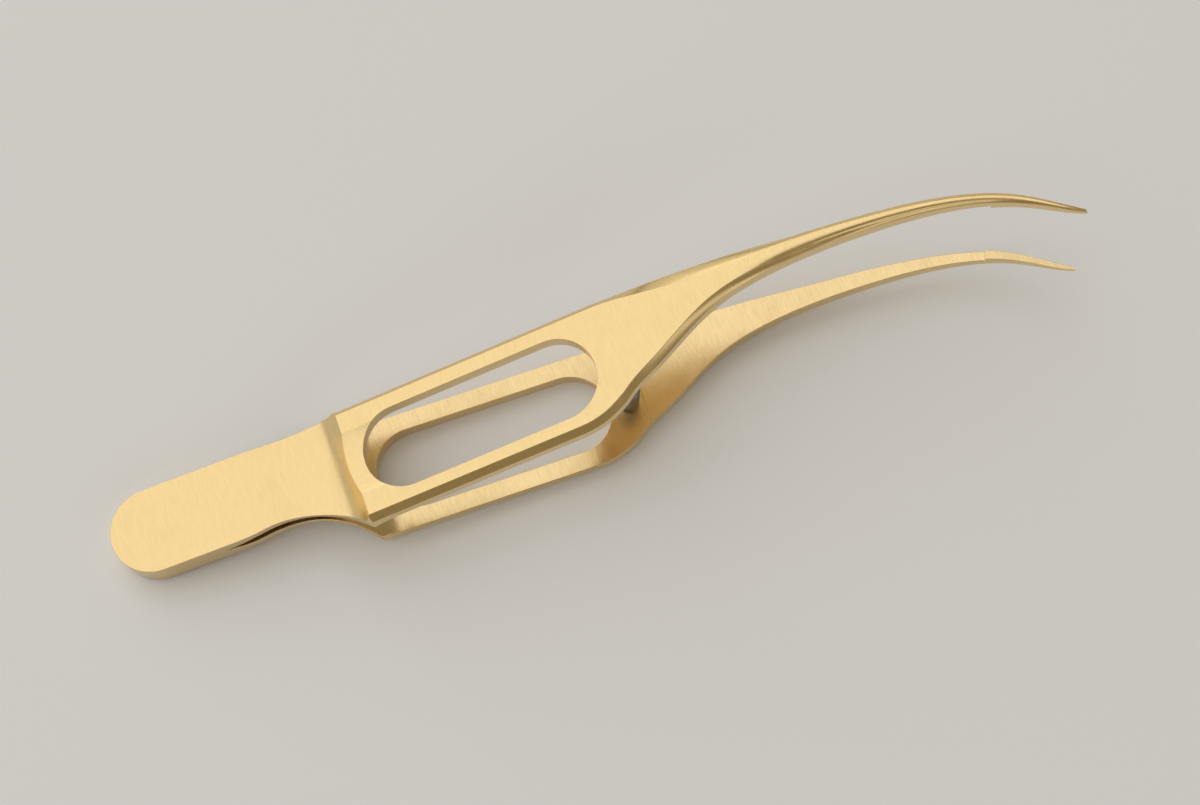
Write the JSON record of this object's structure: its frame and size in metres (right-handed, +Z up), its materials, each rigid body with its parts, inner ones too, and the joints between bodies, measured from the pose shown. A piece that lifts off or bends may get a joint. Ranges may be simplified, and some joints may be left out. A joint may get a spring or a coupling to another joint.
{
  "type": "tying forceps",
  "caption": "Curved microsurgical tying forceps with slotted finger plates, a welded flat tail, a stop pin and smooth tying platforms behind slender bent tips.",
  "frame": {"origin": "middle of the outline seen from above, on the surface that the forceps lies on", "axes": "+X from the tail towards the tips, +Y away from the side that the tips bend to, +Z up"},
  "size_m": [0.0754, 0.0092, 0.0163],
  "materials": {
    "upper_arm": "satin, gold-coloured, brushed",
    "lower_arm": "satin, gold-coloured, brushed",
    "stop_pin": "turned, dark grey"
  },
  "bodies": {
    "lower": {"lower_arm": "lower_arm", "stop_pin": "stop_pin"},
    "upper": {"upper_arm": "upper_arm"}
  },
  "joints": [
    {"name": "squeeze", "type": "hinge", "parent": "lower", "child": "upper", "pos_m": [-0.02679, -0.0001, 0.00248], "axis": [0, 1, 0], "range_deg": [0, 10.85], "stiffness_Nm_per_rad": 0.1}
  ]
}
